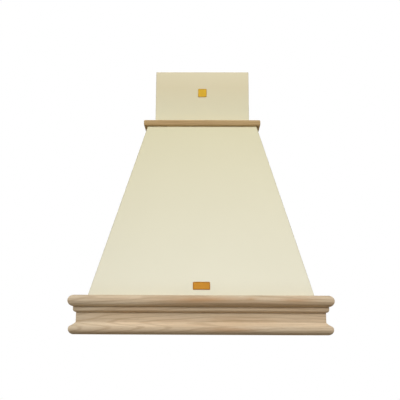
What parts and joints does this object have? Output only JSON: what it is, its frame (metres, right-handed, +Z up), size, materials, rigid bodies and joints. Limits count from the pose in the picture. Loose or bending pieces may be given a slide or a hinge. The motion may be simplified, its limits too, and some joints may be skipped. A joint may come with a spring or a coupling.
{
  "type": "chimney cooker hood",
  "caption": "Tapered cream steel chimney cooker hood with bare timber base moulding and top rail, grease filters, lamps, push buttons and a ducted fan.",
  "frame": {"origin": "on the wall plane at mid-width, level with the underside of the moulding", "axes": "+X right seen from the front, +Y into the wall, +Z up"},
  "size_m": [0.6, 0.49, 0.726],
  "materials": {
    "cream_paint": "satin powder coat",
    "galvanised_steel": "zinc coated sheet",
    "bare_beech": "bare sanded timber, unfinished",
    "zinc_screw": "bright zinc plated",
    "filter_aluminium": "folded sheet, satin",
    "filter_mesh": "layered expanded mesh",
    "latch_plastic": "moulded, matt",
    "lamp_chrome": "polished",
    "lens_glass": "frosted glass",
    "control_plastic": "moulded, cream",
    "button_plastic": "moulded, semi gloss",
    "fan_plastic": "moulded, pale grey",
    "wheel_plastic": "moulded, black",
    "motor_steel": "motor can",
    "shaft_steel": "ground",
    "rubber_black": "moulded",
    "capacitor_case": "white can"
  },
  "bodies": {
    "hood": {"canopy_front": "cream_paint", "canopy_left": "cream_paint", "canopy_right": "cream_paint", "chimney_cover": "cream_paint", "bottom_panel": "cream_paint", "recess_rim": "cream_paint", "back_panel": "galvanised_steel", "top_plate": "galvanised_steel", "chimney_bracket": "galvanised_steel", "chimney_screws": "zinc_screw", "moulding_screws": "zinc_screw", "rim_screws": "zinc_screw", "rail_screws": "zinc_screw", "collar_screws": "zinc_screw", "filter_guides": "galvanised_steel", "base_moulding_front": "bare_beech", "base_moulding_left": "bare_beech", "base_moulding_right": "bare_beech", "top_rail_front": "bare_beech", "top_rail_left": "bare_beech", "top_rail_right": "bare_beech", "mitre_splines": "bare_beech", "control_plate": "control_plastic", "switch_unit": "wheel_plastic", "scroll_left": "fan_plastic", "scroll_right": "fan_plastic", "outlet_adapter": "fan_plastic", "outlet_collar": "fan_plastic", "inlet_guard": "wheel_plastic", "motor": "motor_steel", "motor_bracket": "galvanised_steel", "flap_pin": "shaft_steel", "terminal_box": "fan_plastic", "terminal_lid": "fan_plastic", "capacitor": "capacitor_case", "cable_gland": "rubber_black", "lamp_bezel_left": "lamp_chrome", "lamp_lens_left": "lens_glass", "lamp_case_left": "galvanised_steel", "lamp_bezel_right": "lamp_chrome", "lamp_lens_right": "lens_glass", "lamp_case_right": "galvanised_steel"},
    "fan": {"fan_wheel": "wheel_plastic", "motor_shaft": "shaft_steel"},
    "flap_left": {"backdraught_flap_left": "wheel_plastic"},
    "flap_right": {"backdraught_flap_right": "wheel_plastic"},
    "filter_left": {"filter_frame_left": "filter_aluminium", "filter_mesh_left": "filter_mesh"},
    "filter_right": {"filter_frame_right": "filter_aluminium", "filter_mesh_right": "filter_mesh"},
    "latch_left": {"filter_latch_left": "latch_plastic"},
    "latch_right": {"filter_latch_right": "latch_plastic"},
    "button_off": {"button_off": "button_plastic"},
    "button_low": {"button_low": "button_plastic"},
    "button_medium": {"button_medium": "button_plastic"},
    "button_high": {"button_high": "button_plastic"},
    "button_lamp": {"button_lamp": "button_plastic"}
  },
  "joints": [
    {"name": "fan_spin", "type": "hinge", "parent": "hood", "child": "fan", "pos_m": [0, -0.19525, 0.395], "axis": [1, 0, 0], "continuous": true},
    {"name": "flap_left_swing", "type": "hinge", "parent": "hood", "child": "flap_left", "pos_m": [0, -0.12, 0.563], "axis": [0, 1, 0], "range_deg": [0, 75]},
    {"name": "flap_right_swing", "type": "hinge", "parent": "hood", "child": "flap_right", "pos_m": [0, -0.12, 0.563], "axis": [0, -1, 0], "range_deg": [0, 75]},
    {"name": "filter_left_drop", "type": "hinge", "parent": "hood", "child": "filter_left", "pos_m": [-0.118, -0.052, 0.025], "axis": [1, 0, 0], "range_deg": [0, 80]},
    {"name": "latch_left_slide", "type": "slide", "parent": "filter_left", "child": "latch_left", "axis": [0, -1, 0], "range_m": [0, 0.005]},
    {"name": "filter_right_drop", "type": "hinge", "parent": "hood", "child": "filter_right", "pos_m": [0.118, -0.052, 0.025], "axis": [1, 0, 0], "range_deg": [0, 80]},
    {"name": "latch_right_slide", "type": "slide", "parent": "filter_right", "child": "latch_right", "axis": [0, -1, 0], "range_m": [0, 0.005]},
    {"name": "button_off_press", "type": "slide", "parent": "hood", "child": "button_off", "axis": [0, 0, 1], "range_m": [0, 0.003], "stiffness_N_per_m": 300, "springref_m": -0.002},
    {"name": "button_low_press", "type": "slide", "parent": "hood", "child": "button_low", "axis": [0, 0, 1], "range_m": [0, 0.003], "stiffness_N_per_m": 300, "springref_m": -0.002},
    {"name": "button_medium_press", "type": "slide", "parent": "hood", "child": "button_medium", "axis": [0, 0, 1], "range_m": [0, 0.003], "stiffness_N_per_m": 300, "springref_m": -0.002},
    {"name": "button_high_press", "type": "slide", "parent": "hood", "child": "button_high", "axis": [0, 0, 1], "range_m": [0, 0.003], "stiffness_N_per_m": 300, "springref_m": -0.002},
    {"name": "button_lamp_press", "type": "slide", "parent": "hood", "child": "button_lamp", "axis": [0, 0, 1], "range_m": [0, 0.003], "stiffness_N_per_m": 300, "springref_m": -0.002}
  ]
}
